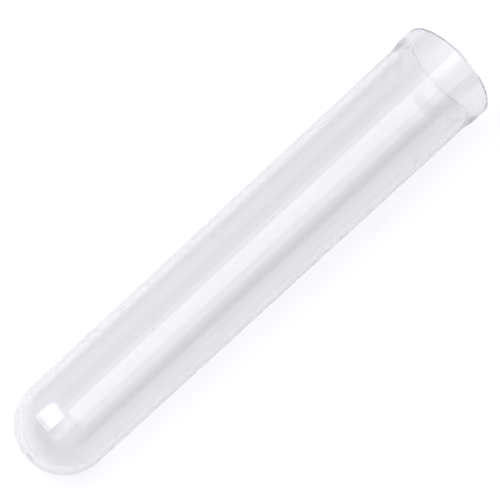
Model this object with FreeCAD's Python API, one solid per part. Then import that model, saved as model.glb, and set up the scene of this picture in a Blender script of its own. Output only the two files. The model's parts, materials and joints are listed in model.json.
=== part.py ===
"""A round-bottom test tube, moulded in one piece from clear polystyrene, lying on its side.

The tube is one turned profile: a hemispherical bottom, a body that widens slowly towards the mouth
(the draft that lets it slide off its mould core), and a slightly flared, rounded lip. Inside, the last
stretch below the rim is a straight bore, where a plug cap or a stopper seats.

Frame: +Z is up and z = 0 is the surface that the tube lies on. +X runs along the tube towards its mouth,
and the origin is under the middle of the tube. It rests on its lip and on its round bottom, which is
narrower, so its axis climbs slightly towards the mouth. Sizes are in millimetres and degrees.
"""

import FreeCAD
import Part

import math
import os

# Driving dimensions
overall_length = 95.0        # from the gate mark's face to the rim, along the axis
body_diameter = 16.6         # outside, where the body is widest, just below the lip
draft_angle = 0.4            # of the body's outside, on each side
wall_thickness = 1.0         # side wall
bottom_thickness = 1.3       # at the middle of the round bottom

lip_overhang = 0.35          # how far the lip stands out of the body, all round
lip_band_height = 2.0        # straight band at the rim
lip_flare_height = 3.6       # stretch over which the body widens to the band
rim_rounding = 0.4           # on the rim's outer and inner edges
plug_seat_depth = 10.0       # straight bore below the rim

gate_mark_diameter = 1.2     # trace of the moulding gate, at the middle of the bottom
gate_mark_height = 0.15      # how far it stands out of the hemisphere

# Stations along the axis, counted from the gate mark's face
flare_start = overall_length - lip_band_height - lip_flare_height
band_start = overall_length - lip_band_height
seat_end = overall_length - plug_seat_depth

# Radii, and the centres of the outer and the inner hemisphere. The outer one is as large as lets the body
# leave it smoothly at the draft angle and reach the body's diameter where the flare starts.
body_radius = body_diameter / 2
lip_radius = body_radius + lip_overhang
bore_radius = body_radius - wall_thickness
gate_mark_radius = gate_mark_diameter / 2
draft = math.radians(draft_angle)
bottom_radius = (
    (body_radius * math.cos(draft) - (flare_start - gate_mark_height) * math.sin(draft))
    / (1 - math.sin(draft))
)
inner_bottom_radius = bottom_radius - wall_thickness
bottom_centre = gate_mark_height + bottom_radius
inner_bottom_centre = gate_mark_height + bottom_thickness + inner_bottom_radius

# A fillet takes no more than this share of the rim's thickness, so that a flat land stays between the two
LARGEST_ROUNDING_SHARE = 0.45
rim_fillet = min(rim_rounding, LARGEST_ROUNDING_SHARE * (lip_radius - bore_radius))

# How far the flare's two handles reach along it: under a half, so that the curve never doubles back
FLARE_HANDLE_SHARE = 0.45


def tangent_slope(sphere_radius, distance, radius):
    """The slope, as an angle, of the line that touches a sphere centred on the axis and passes through the
    point that lies that distance further along the axis, at that radius from it."""
    return math.acos(sphere_radius / math.hypot(distance, radius)) - math.atan2(distance, radius)


def point(x, r):
    """A point of the profile, x along the axis and r away from it."""
    return FreeCAD.Vector(x, 0, r)


def on_sphere(centre, radius, slope):
    """The point of a sphere where a line of that slope touches it."""
    return point(centre - radius * math.sin(slope), radius * math.cos(slope))


def line(start, end):
    return Part.LineSegment(start, end).toShape()


def arc(start, centre, end):
    """The short arc from start to end about a centre."""
    towards_middle = (start + end) * 0.5 - centre
    middle = centre + towards_middle.normalize() * (start - centre).Length
    return Part.Arc(start, middle, end).toShape()


def flare(start, slope, end):
    """The body's smooth turn from its draft to the straight band of the lip."""
    handle = FLARE_HANDLE_SHARE * (end.x - start.x)
    curve = Part.BezierCurve()
    curve.setPoles([
        start,
        start + point(math.cos(slope), math.sin(slope)) * handle,
        end - point(handle, 0),
        end,
    ])
    return curve.toShape()


def outside_edges():
    """From the axis at the gate mark, round the bottom and along the body, to the rim's flat land."""
    gate_edge = point(0, gate_mark_radius)
    gate_foot = point(bottom_centre - math.sqrt(bottom_radius**2 - gate_mark_radius**2), gate_mark_radius)
    body_foot = on_sphere(bottom_centre, bottom_radius, draft)
    body_top = point(flare_start, body_radius)
    band_foot = point(band_start, lip_radius)
    band_top = point(overall_length - rim_fillet, lip_radius)
    land_outer = point(overall_length, lip_radius - rim_fillet)
    return [
        line(point(0, 0), gate_edge),
        line(gate_edge, gate_foot),
        arc(gate_foot, point(bottom_centre, 0), body_foot),
        line(body_foot, body_top),
        flare(body_top, draft, band_foot),
        line(band_foot, band_top),
        arc(band_top, point(overall_length - rim_fillet, lip_radius - rim_fillet), land_outer),
    ]


def inside_edges():
    """From the rim's flat land, down the plug seat and the drafted wall, to the axis at the inner bottom."""
    slope = tangent_slope(inner_bottom_radius, seat_end - inner_bottom_centre, bore_radius)
    land_inner = point(overall_length, bore_radius + rim_fillet)
    seat_top = point(overall_length - rim_fillet, bore_radius)
    seat_foot = point(seat_end, bore_radius)
    wall_foot = on_sphere(inner_bottom_centre, inner_bottom_radius, slope)
    inner_pole = point(inner_bottom_centre - inner_bottom_radius, 0)
    return [
        arc(land_inner, point(overall_length - rim_fillet, bore_radius + rim_fillet), seat_top),
        line(seat_top, seat_foot),
        line(seat_foot, wall_foot),
        arc(wall_foot, point(inner_bottom_centre, 0), inner_pole),
    ]


def turned_tube():
    """The whole tube, turned about the X axis, with the gate mark's face at x = 0."""
    outside = outside_edges()
    inside = inside_edges()
    rim_land = line(outside[-1].Vertexes[-1].Point, inside[0].Vertexes[0].Point)
    on_axis = line(inside[-1].Vertexes[-1].Point, outside[0].Vertexes[0].Point)
    profile = Part.Face(Part.Wire(outside + [rim_land] + inside + [on_axis]))
    return profile.revolve(FreeCAD.Vector(0, 0, 0), FreeCAD.Vector(1, 0, 0), 360)


def laid_down(tube):
    """The tube at rest on z = 0: tilted until its lip and its round bottom both touch, and centred on x = 0."""
    tilt = tangent_slope(bottom_radius, band_start - bottom_centre, lip_radius)
    axis_height = bottom_radius - bottom_centre * math.sin(tilt)
    low_end = -gate_mark_radius * math.sin(tilt)
    high_end = (
        (overall_length - rim_fillet) * math.cos(tilt)
        + (lip_radius - rim_fillet) * math.sin(tilt)
        + rim_fillet
    )
    tube.rotate(FreeCAD.Vector(0, 0, 0), FreeCAD.Vector(0, 1, 0), -math.degrees(tilt))
    tube.translate(FreeCAD.Vector(-(low_end + high_end) / 2, 0, axis_height))
    return tube


tube = laid_down(turned_tube())
if not tube.isValid() or not tube.isClosed() or tube.ShapeType != "Solid":
    raise ValueError("the tube isn't one valid closed solid")
os.makedirs("parts", exist_ok=True)
tube.exportStep("parts/tube.step")
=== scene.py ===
import json
import math

import bpy
from mathutils import Matrix, Vector


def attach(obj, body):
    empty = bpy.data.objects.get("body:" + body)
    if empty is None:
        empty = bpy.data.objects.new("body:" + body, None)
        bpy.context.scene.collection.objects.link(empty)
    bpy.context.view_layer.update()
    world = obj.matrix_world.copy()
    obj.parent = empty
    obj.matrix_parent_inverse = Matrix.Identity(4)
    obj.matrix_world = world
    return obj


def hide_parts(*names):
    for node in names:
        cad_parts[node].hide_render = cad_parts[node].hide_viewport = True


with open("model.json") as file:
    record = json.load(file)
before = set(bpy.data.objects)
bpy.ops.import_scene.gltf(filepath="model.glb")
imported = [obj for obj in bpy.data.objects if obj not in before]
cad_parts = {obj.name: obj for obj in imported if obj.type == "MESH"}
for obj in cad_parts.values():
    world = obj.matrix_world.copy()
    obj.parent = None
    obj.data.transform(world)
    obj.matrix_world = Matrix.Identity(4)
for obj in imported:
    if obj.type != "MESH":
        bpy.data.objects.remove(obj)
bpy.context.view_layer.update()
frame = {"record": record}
MM = 0.001


# Where the tube lies. It rests on its lip and on its round bottom, so its own axis climbs a little from +X.
# Everything about the tube is measured along that axis, from the small gate mark at the middle of the bottom
# to the rim.
mounts = {mount["name"]: mount for mount in frame["record"]["mounts"]}
along_tube = Vector(mounts["mouth_bore"]["axis"]).normalized()
bore_radius = mounts["mouth_bore"]["dims"]["r_mm"] * MM
lip_radius = mounts["lip_band"]["dims"]["r_mm"] * MM
body_radius = mounts["body_in_rack"]["dims"]["r_mm"] * MM
tube_length = 95.0 * MM
wall_thickness = body_radius - bore_radius

# The straight band at the rim says where the tube's axis runs and where its rim stands
band_centre = Vector(mounts["lip_band"]["pos_m"])
rim_rounding = 0.4 * MM
lip_band_height = 2.0 * MM
rim_centre = band_centre + along_tube * (rim_rounding + (lip_band_height - rim_rounding) / 2)
gate_face_centre = rim_centre - along_tube * tube_length


# The tube. One shot of clear polystyrene, moulded on a polished steel core inside a polished cavity, so it
# has one turned wall: a round bottom with the trace of the gate, a body that widens by its draft, and a
# slightly flared, rounded lip. The bottom insert of the mould leaves a hair-thin step where the body begins,
# and the gate mark is trimmed nearly flush, lower than the part's own 0.15 mm.
draft = math.radians(0.4)
gate_mark_radius = 0.6 * MM
gate_mark_height = 0.15 * MM
gate_mark_rounding = 0.02 * MM
gate_mark_left = 0.03 * MM
bottom_thickness = 1.3 * MM
lip_flare_height = 3.6 * MM
plug_seat_depth = 10.0 * MM
insert_step = 0.006 * MM
insert_step_width = 0.06 * MM
turning_radius = lip_radius

flare_start = tube_length - lip_band_height - lip_flare_height
bottom_radius = (
    (body_radius * math.cos(draft) - (flare_start - gate_mark_height) * math.sin(draft))
    / (1 - math.sin(draft))
)
bottom_centre = gate_mark_height + bottom_radius
inner_radius = bottom_radius - wall_thickness
inner_centre = gate_mark_height + bottom_thickness + inner_radius


def straight(start, end, steps):
    """Points from start to end, without the last."""
    return [
        (start[0] + (end[0] - start[0]) * i / steps, start[1] + (end[1] - start[1]) * i / steps)
        for i in range(steps)
    ]


def round_corner(centre, radius, start_angle, end_angle, steps):
    """Points of an arc, without the last. Angles are counted from +X, in degrees."""
    angles = [math.radians(start_angle + (end_angle - start_angle) * i / steps) for i in range(steps)]
    return [(centre[0] + radius * math.cos(a), centre[1] + radius * math.sin(a)) for a in angles]


def flare_curve(start, slope, end, steps):
    """Points of the smooth turn from the body's draft to the straight band of the lip, without the last."""
    handle = 0.45 * (end[0] - start[0])
    ctrl = [
        start,
        (start[0] + handle * math.cos(slope), start[1] + handle * math.sin(slope)),
        (end[0] - handle, end[1]),
        end,
    ]
    points = []
    for i in range(steps):
        t = i / steps
        w = ((1 - t) ** 3, 3 * t * (1 - t) ** 2, 3 * t * t * (1 - t), t ** 3)
        points.append(tuple(sum(w[k] * ctrl[k][axis] for k in range(4)) for axis in (0, 1)))
    return points


def tube_section():
    """The wall's section as (distance from the gate mark's face, distance from the axis), from the outer
    pole round the lip to the inner pole."""
    foot_angle = math.degrees(math.asin(gate_mark_radius / bottom_radius))
    foot_x = bottom_centre - bottom_radius * math.cos(math.radians(foot_angle))
    body_foot_angle = 90 + math.degrees(draft)
    body_foot = (
        bottom_centre - bottom_radius * math.sin(draft),
        bottom_radius * math.cos(draft),
    )
    slope_step = (body_radius - body_foot[1]) / (flare_start - body_foot[0])
    after_step = (
        body_foot[0] + insert_step_width,
        body_foot[1] + insert_step_width * slope_step + insert_step,
    )
    seat_end = tube_length - plug_seat_depth
    reach = math.hypot(seat_end - inner_centre, bore_radius)
    inner_slope = math.acos(inner_radius / reach) - math.atan2(seat_end - inner_centre, bore_radius)
    inner_foot = (
        inner_centre - inner_radius * math.sin(inner_slope),
        inner_radius * math.cos(inner_slope),
    )
    rim = tube_length - rim_rounding
    face_x = gate_mark_height - gate_mark_left
    corner_x = face_x + gate_mark_rounding
    section = straight((face_x, 0), (face_x, gate_mark_radius - gate_mark_rounding), 3)
    section += round_corner(
        (corner_x, gate_mark_radius - gate_mark_rounding), gate_mark_rounding, 180, 90, 5
    )
    section += straight((corner_x, gate_mark_radius), (foot_x, gate_mark_radius), 2)
    section += round_corner((bottom_centre, 0), bottom_radius, 180 - foot_angle, body_foot_angle, 48)
    section += straight(body_foot, after_step, 2)
    section += straight(after_step, (flare_start, body_radius), 100)
    section += flare_curve((flare_start, body_radius), draft, (tube_length - lip_band_height, lip_radius), 16)
    section += straight((tube_length - lip_band_height, lip_radius), (rim, lip_radius), 4)
    section += round_corner((rim, lip_radius - rim_rounding), rim_rounding, 90, 0, 10)
    section += straight(
        (tube_length, lip_radius - rim_rounding), (tube_length, bore_radius + rim_rounding), 3
    )
    section += round_corner((rim, bore_radius + rim_rounding), rim_rounding, 0, -90, 10)
    section += straight((rim, bore_radius), (seat_end, bore_radius), 12)
    section += straight((seat_end, bore_radius), inner_foot, 90)
    section += round_corner((inner_centre, 0), inner_radius, 90 + math.degrees(inner_slope), 180, 40)
    section.append((inner_centre - inner_radius, 0))
    return section


def section_curve():
    """The section as an open line: X is the distance outwards from the turning radius, -Y the one along."""
    line = bpy.data.curves.new("tube_section", "CURVE")
    line.dimensions = "3D"
    points = tube_section()
    spline = line.splines.new("POLY")
    spline.points.add(len(points) - 1)
    for place, (along, out) in zip(spline.points, points):
        place.co = (out - turning_radius, -along, 0, 1)
    return bpy.data.objects.new("tube_section", line)


def turning_tree(material):
    """Turns a section into a solid of revolution about +Z and gives its wall the slight waves of moulding."""
    tree = bpy.data.node_groups.new("turned_tube", "GeometryNodeTree")
    face = tree.interface
    face.new_socket("Section", in_out="INPUT", socket_type="NodeSocketGeometry")
    for name, kind in (
        ("Steps Around", "NodeSocketInt"),
        ("Turning Radius", "NodeSocketFloat"),
        ("Weld Distance", "NodeSocketFloat"),
        ("Wave Height", "NodeSocketFloat"),
        ("Waves Per Metre", "NodeSocketFloat"),
    ):
        face.new_socket(name, in_out="INPUT", socket_type=kind)
    face.new_socket("Tube", in_out="OUTPUT", socket_type="NodeSocketGeometry")
    nodes, links = tree.nodes, tree.links

    def node(kind, **settings):
        made = nodes.new(kind)
        for key, value in settings.items():
            setattr(made, key, value)
        return made

    given = node("NodeGroupInput")
    path = node("GeometryNodeCurvePrimitiveCircle")
    links.new(given.outputs["Steps Around"], path.inputs["Resolution"])
    links.new(given.outputs["Turning Radius"], path.inputs["Radius"])
    turned = node("GeometryNodeCurveToMesh")
    links.new(path.outputs["Curve"], turned.inputs["Curve"])
    links.new(given.outputs["Section"], turned.inputs["Profile Curve"])
    faced_out = node("GeometryNodeFlipFaces")
    links.new(turned.outputs["Mesh"], faced_out.inputs["Mesh"])
    welded = node("GeometryNodeMergeByDistance")
    links.new(faced_out.outputs["Mesh"], welded.inputs["Geometry"])
    links.new(given.outputs["Weld Distance"], welded.inputs["Distance"])

    place = node("GeometryNodeInputPosition")
    drawn_out = node("ShaderNodeVectorMath", operation="MULTIPLY")
    drawn_out.inputs[1].default_value = (1.0, 1.0, 0.12)
    links.new(place.outputs["Position"], drawn_out.inputs[0])
    waves = node("ShaderNodeTexNoise", noise_dimensions="4D")
    links.new(drawn_out.outputs["Vector"], waves.inputs["Vector"])
    waves.inputs["W"].default_value = 4.0
    waves.inputs["Detail"].default_value = 1.0
    links.new(given.outputs["Waves Per Metre"], waves.inputs["Scale"])
    centred = node("ShaderNodeMath", operation="SUBTRACT")
    links.new(waves.outputs["Fac"], centred.inputs[0])
    centred.inputs[1].default_value = 0.5
    height = node("ShaderNodeMath", operation="MULTIPLY")
    links.new(centred.outputs[0], height.inputs[0])
    links.new(given.outputs["Wave Height"], height.inputs[1])
    outwards = node("GeometryNodeInputNormal")
    push = node("ShaderNodeVectorMath", operation="SCALE")
    links.new(outwards.outputs["Normal"], push.inputs["Vector"])
    links.new(height.outputs[0], push.inputs["Scale"])
    wavy = node("GeometryNodeSetPosition")
    links.new(welded.outputs["Geometry"], wavy.inputs["Geometry"])
    links.new(push.outputs["Vector"], wavy.inputs["Offset"])

    smooth = node("GeometryNodeSetShadeSmooth")
    links.new(wavy.outputs["Geometry"], smooth.inputs["Geometry"])
    whole = node("GeometryNodeRealizeInstances")
    links.new(smooth.outputs["Geometry"], whole.inputs["Geometry"])
    coated = node("GeometryNodeSetMaterial")
    coated.inputs["Material"].default_value = material
    links.new(whole.outputs["Geometry"], coated.inputs["Geometry"])
    result = node("NodeGroupOutput")
    links.new(coated.outputs["Geometry"], result.inputs["Tube"])
    return tree


def clear_polystyrene():
    """Clear moulded polystyrene: high gloss, a trace of cool tint, slight haze and handling marks."""
    material = bpy.data.materials.new("clear_polystyrene")
    material.use_nodes = True
    nodes, links = material.node_tree.nodes, material.node_tree.links
    shader = nodes["Principled BSDF"]
    shader.inputs["Base Color"].default_value = (1.0, 1.0, 1.0, 1.0)
    shader.inputs["IOR"].default_value = 1.59
    shader.inputs["Transmission Weight"].default_value = 0.99

    tint = nodes.new("ShaderNodeVolumeAbsorption")
    tint.inputs["Color"].default_value = (0.90, 0.90, 0.93, 1.0)
    tint.inputs["Density"].default_value = 10.0
    links.new(tint.outputs["Volume"], nodes["Material Output"].inputs["Volume"])

    # Broad patches where fingers dulled the gloss, and fine rubs from sliding in and out of racks
    place = nodes.new("ShaderNodeTexCoord")
    smears = nodes.new("ShaderNodeTexNoise")
    smears.inputs["Scale"].default_value = 90.0
    smears.inputs["Detail"].default_value = 3.0
    links.new(place.outputs["Object"], smears.inputs["Vector"])
    dulled = nodes.new("ShaderNodeMapRange")
    dulled.inputs["From Min"].default_value = 0.35
    dulled.inputs["From Max"].default_value = 0.70
    dulled.inputs["To Min"].default_value = 0.02
    dulled.inputs["To Max"].default_value = 0.06
    links.new(smears.outputs["Fac"], dulled.inputs["Value"])
    lengthwise = nodes.new("ShaderNodeVectorMath")
    lengthwise.operation = "MULTIPLY"
    lengthwise.inputs[1].default_value = (0.05, 1.0, 1.0)
    links.new(place.outputs["Object"], lengthwise.inputs[0])
    rubs = nodes.new("ShaderNodeTexNoise")
    rubs.inputs["Scale"].default_value = 1600.0
    rubs.inputs["Detail"].default_value = 4.0
    links.new(lengthwise.outputs["Vector"], rubs.inputs["Vector"])
    rubbed = nodes.new("ShaderNodeMapRange")
    rubbed.inputs["From Min"].default_value = 0.62
    rubbed.inputs["From Max"].default_value = 0.72
    rubbed.inputs["To Max"].default_value = 0.03
    links.new(rubs.outputs["Fac"], rubbed.inputs["Value"])
    gloss_lost = nodes.new("ShaderNodeMath")
    gloss_lost.operation = "ADD"
    links.new(dulled.outputs["Result"], gloss_lost.inputs[0])
    links.new(rubbed.outputs["Result"], gloss_lost.inputs[1])
    links.new(gloss_lost.outputs["Value"], shader.inputs["Roughness"])
    scratched = nodes.new("ShaderNodeBump")
    scratched.inputs["Strength"].default_value = 0.5
    scratched.inputs["Distance"].default_value = 0.0004 * MM
    links.new(rubs.outputs["Fac"], scratched.inputs["Height"])
    links.new(scratched.outputs["Normal"], shader.inputs["Normal"])

    # Lamps and the light off the table go straight through the thin wall, less what its face reflects, which
    # is most where they graze it
    facing = nodes.new("ShaderNodeLayerWeight")
    grazing = nodes.new("ShaderNodeMath")
    grazing.operation = "POWER"
    grazing.inputs[1].default_value = 5.0
    links.new(facing.outputs["Facing"], grazing.inputs[0])
    passed = nodes.new("ShaderNodeMapRange")
    passed.inputs["To Min"].default_value = 0.968
    passed.inputs["To Max"].default_value = 0.0
    links.new(grazing.outputs["Value"], passed.inputs["Value"])
    ray = nodes.new("ShaderNodeLightPath")
    let_through = nodes.new("ShaderNodeBsdfTransparent")
    links.new(passed.outputs["Result"], let_through.inputs["Color"])
    for_lamps = nodes.new("ShaderNodeMixShader")
    links.new(ray.outputs["Is Shadow Ray"], for_lamps.inputs["Fac"])
    links.new(shader.outputs["BSDF"], for_lamps.inputs[1])
    links.new(let_through.outputs["BSDF"], for_lamps.inputs[2])
    for_table = nodes.new("ShaderNodeMixShader")
    links.new(ray.outputs["Is Diffuse Ray"], for_table.inputs["Fac"])
    links.new(for_lamps.outputs["Shader"], for_table.inputs[1])
    links.new(let_through.outputs["BSDF"], for_table.inputs[2])
    links.new(for_table.outputs["Shader"], nodes["Material Output"].inputs["Surface"])
    return material


section = section_curve()
bpy.context.scene.collection.objects.link(section)
turning = section.modifiers.new("turning", "NODES")
turning.node_group = turning_tree(clear_polystyrene())
sizes = {
    "Steps Around": 256,
    "Turning Radius": turning_radius,
    "Weld Distance": 0.001 * MM,
    "Wave Height": 0.0003 * MM,
    "Waves Per Metre": 160.0,
}
for socket in turning.node_group.interface.items_tree:
    if socket.name in sizes:
        turning[socket.identifier] = sizes[socket.name]

depsgraph = bpy.context.evaluated_depsgraph_get()
tube_mesh = bpy.data.meshes.new_from_object(section.evaluated_get(depsgraph))
tube_mesh.name = "tube_wall"
bpy.data.objects.remove(section)
lay_down = Matrix.Translation(gate_face_centre) @ along_tube.to_track_quat("Z", "Y").to_matrix().to_4x4()
tube_mesh.transform(lay_down)
tube = bpy.data.objects.new("moulded_tube", tube_mesh)
bpy.context.scene.collection.objects.link(tube)
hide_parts("tube")
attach(tube, "root")


# The table: one flat white sheet, 8 m square. It glows a little for the camera alone, so it looks white while
# the tube still sees a darker table.
table_reach = 4.0
table_mesh = bpy.data.meshes.new("white_table")
table_mesh.from_pydata(
    [(-table_reach, -table_reach, 0), (table_reach, -table_reach, 0),
     (table_reach, table_reach, 0), (-table_reach, table_reach, 0)],
    [],
    [(0, 1, 2, 3)],
)
table = bpy.data.objects.new("white_table", table_mesh)
bpy.context.scene.collection.objects.link(table)
table_paint = bpy.data.materials.new("white_table")
table_paint.use_nodes = True
table_shader = table_paint.node_tree.nodes["Principled BSDF"]
table_shader.inputs["Base Color"].default_value = (0.77, 0.77, 0.77, 1.0)
table_shader.inputs["Roughness"].default_value = 0.9
table_shader.inputs["Specular IOR Level"].default_value = 0.0
table_ray = table_paint.node_tree.nodes.new("ShaderNodeLightPath")
table_glow = table_paint.node_tree.nodes.new("ShaderNodeMath")
table_glow.operation = "MULTIPLY"
table_glow.inputs[1].default_value = 0.20
table_paint.node_tree.links.new(table_ray.outputs["Is Camera Ray"], table_glow.inputs[0])
table_paint.node_tree.links.new(table_glow.outputs[0], table_shader.inputs["Emission Strength"])
table_shader.inputs["Emission Color"].default_value = (1.0, 1.0, 1.0, 1.0)
table_mesh.materials.append(table_paint)


# The camera looks down on the tube from the side of its round bottom, with no lens shift.
camera_azimuth = math.radians(-46.66)
camera_elevation = math.radians(59.75)
camera_distance = 1.2
frame_width = 0.0777
sensor_width = 36.0
towards_camera = Vector((
    math.sin(camera_azimuth) * math.cos(camera_elevation),
    -math.cos(camera_azimuth) * math.cos(camera_elevation),
    math.sin(camera_elevation),
))
camera_turn = towards_camera.to_track_quat("Z", "Y").to_matrix()
camera_right, camera_up = camera_turn.col[0], camera_turn.col[1]
middle_from_gate_mm = 49.15
tube_middle = gate_face_centre + along_tube * middle_from_gate_mm * MM
aim_right_mm, aim_up_mm = 0.2, 0.7
looked_at = tube_middle + camera_right * aim_right_mm * MM + camera_up * aim_up_mm * MM
lens = bpy.data.cameras.new("camera")
lens.sensor_width = sensor_width
lens.lens = sensor_width * camera_distance / frame_width
lens.clip_start = 0.01
lens.clip_end = 20.0
camera = bpy.data.objects.new("camera", lens)
camera.matrix_world = Matrix.Translation(looked_at + towards_camera * camera_distance) @ camera_turn.to_4x4()
bpy.context.scene.collection.objects.link(camera)
bpy.context.scene.camera = camera


# The light: a tent of white cloth with a dark opening at the front, and two softboxes. The right one has its
# long edges square to the tube and draws the long bright band on it. The left one is the bright patch on the
# round bottom.
def softbox(name, azimuth, elevation, side, distance, width, height, shine):
    """A panel that faces the tube, from an azimuth counted from +X, with its width along the side given. Its
    shine is the radiance at its bottom and at its top."""
    turned, raised = math.radians(azimuth), math.radians(elevation)
    outwards = Vector((
        math.cos(turned) * math.cos(raised), math.sin(turned) * math.cos(raised), math.sin(raised)
    ))
    across = (side - outwards * side.dot(outwards)).normalized()
    facing = Matrix((across, outwards.cross(across), outwards)).transposed()
    panel = bpy.data.lights.new(name, "AREA")
    panel.shape = "RECTANGLE"
    panel.size = width
    panel.size_y = height
    panel.energy = math.pi * width * height
    panel.color = light_colour
    panel.use_nodes = True
    nodes, links = panel.node_tree.nodes, panel.node_tree.links
    on_panel = nodes.new("ShaderNodeNewGeometry")
    split = nodes.new("ShaderNodeSeparateXYZ")
    links.new(on_panel.outputs["Parametric"], split.inputs["Vector"])
    cloth_shine = nodes.new("ShaderNodeValToRGB")
    cloth_shine.color_ramp.interpolation = "EASE"
    brightest = max(shine)
    for stop, radiance in zip(cloth_shine.color_ramp.elements, shine):
        stop.color = (radiance / brightest,) * 3 + (1.0,)
    links.new(split.outputs["Y"], cloth_shine.inputs["Fac"])
    links.new(cloth_shine.outputs["Color"], nodes["Emission"].inputs["Color"])
    nodes["Emission"].inputs["Strength"].default_value = brightest
    lamp = bpy.data.objects.new(name, panel)
    lamp.matrix_world = Matrix.Translation(tube_middle + outwards * distance) @ facing.to_4x4()
    bpy.context.scene.collection.objects.link(lamp)


light_colour = (0.993, 0.983, 1.036)
softbox_distance = 0.7
left_azimuth = 146.7
left_tilt = 0.55
left_side = Vector((
    -math.sin(math.radians(left_azimuth)), math.cos(math.radians(left_azimuth)), left_tilt
))
along_table = Vector((1, 0, 0))
softbox(
    "left_softbox", azimuth=left_azimuth, elevation=54.0, side=left_side, distance=softbox_distance,
    width=0.62, height=0.62, shine=(2.6, 2.6),
)
softbox(
    "right_softbox", azimuth=-50.0, elevation=52.8, side=along_table, distance=softbox_distance,
    width=0.51, height=0.69, shine=(0.85, 1.1),
)

world = bpy.data.worlds.new("studio")
bpy.context.scene.world = world
world.use_nodes = True
tent, tent_links = world.node_tree.nodes, world.node_tree.links
tent["Background"].inputs["Color"].default_value = light_colour + (1.0,)
direction = tent.new("ShaderNodeTexCoord")
from_opening = tent.new("ShaderNodeVectorMath")
from_opening.operation = "SUBTRACT"
from_opening.inputs[1].default_value = (0.20, -0.75, 0.52)
tent_links.new(direction.outputs["Generated"], from_opening.inputs[0])
in_openings = tent.new("ShaderNodeVectorMath")
in_openings.operation = "DIVIDE"
in_openings.inputs[1].default_value = (0.50, 0.50, 0.45)
tent_links.new(from_opening.outputs["Vector"], in_openings.inputs[0])
distance_out = tent.new("ShaderNodeVectorMath")
distance_out.operation = "LENGTH"
tent_links.new(in_openings.outputs["Vector"], distance_out.inputs[0])
beside_opening = tent.new("ShaderNodeMapRange")
beside_opening.interpolation_type = "SMOOTHSTEP"
beside_opening.inputs["From Min"].default_value = 0.8
beside_opening.inputs["From Max"].default_value = 1.5
beside_opening.inputs["To Min"].default_value = 0.12
tent_links.new(distance_out.outputs["Value"], beside_opening.inputs["Value"])
upwards = tent.new("ShaderNodeSeparateXYZ")
tent_links.new(direction.outputs["Generated"], upwards.inputs["Vector"])
ceiling = tent.new("ShaderNodeMapRange")
ceiling.interpolation_type = "SMOOTHSTEP"
ceiling.inputs["From Min"].default_value = 0.66
ceiling.inputs["From Max"].default_value = 0.93
ceiling.inputs["To Min"].default_value = 0.30
ceiling.inputs["To Max"].default_value = 1.4
tent_links.new(upwards.outputs["Z"], ceiling.inputs["Value"])
cloth = tent.new("ShaderNodeMath")
cloth.operation = "MULTIPLY"
tent_links.new(beside_opening.outputs["Result"], cloth.inputs[0])
tent_links.new(ceiling.outputs["Result"], cloth.inputs[1])
seen = tent.new("ShaderNodeLightPath")
backdrop = tent.new("ShaderNodeMix")
backdrop.inputs["B"].default_value = 0.97
tent_links.new(seen.outputs["Is Camera Ray"], backdrop.inputs["Factor"])
tent_links.new(cloth.outputs["Value"], backdrop.inputs["A"])
tent_links.new(backdrop.outputs["Result"], tent["Background"].inputs["Strength"])
bpy.context.scene.view_settings.view_transform = "Standard"
light_paths = bpy.context.scene.cycles
longest_light_path = 256
light_paths.max_bounces = longest_light_path
light_paths.glossy_bounces = longest_light_path
light_paths.transmission_bounces = longest_light_path
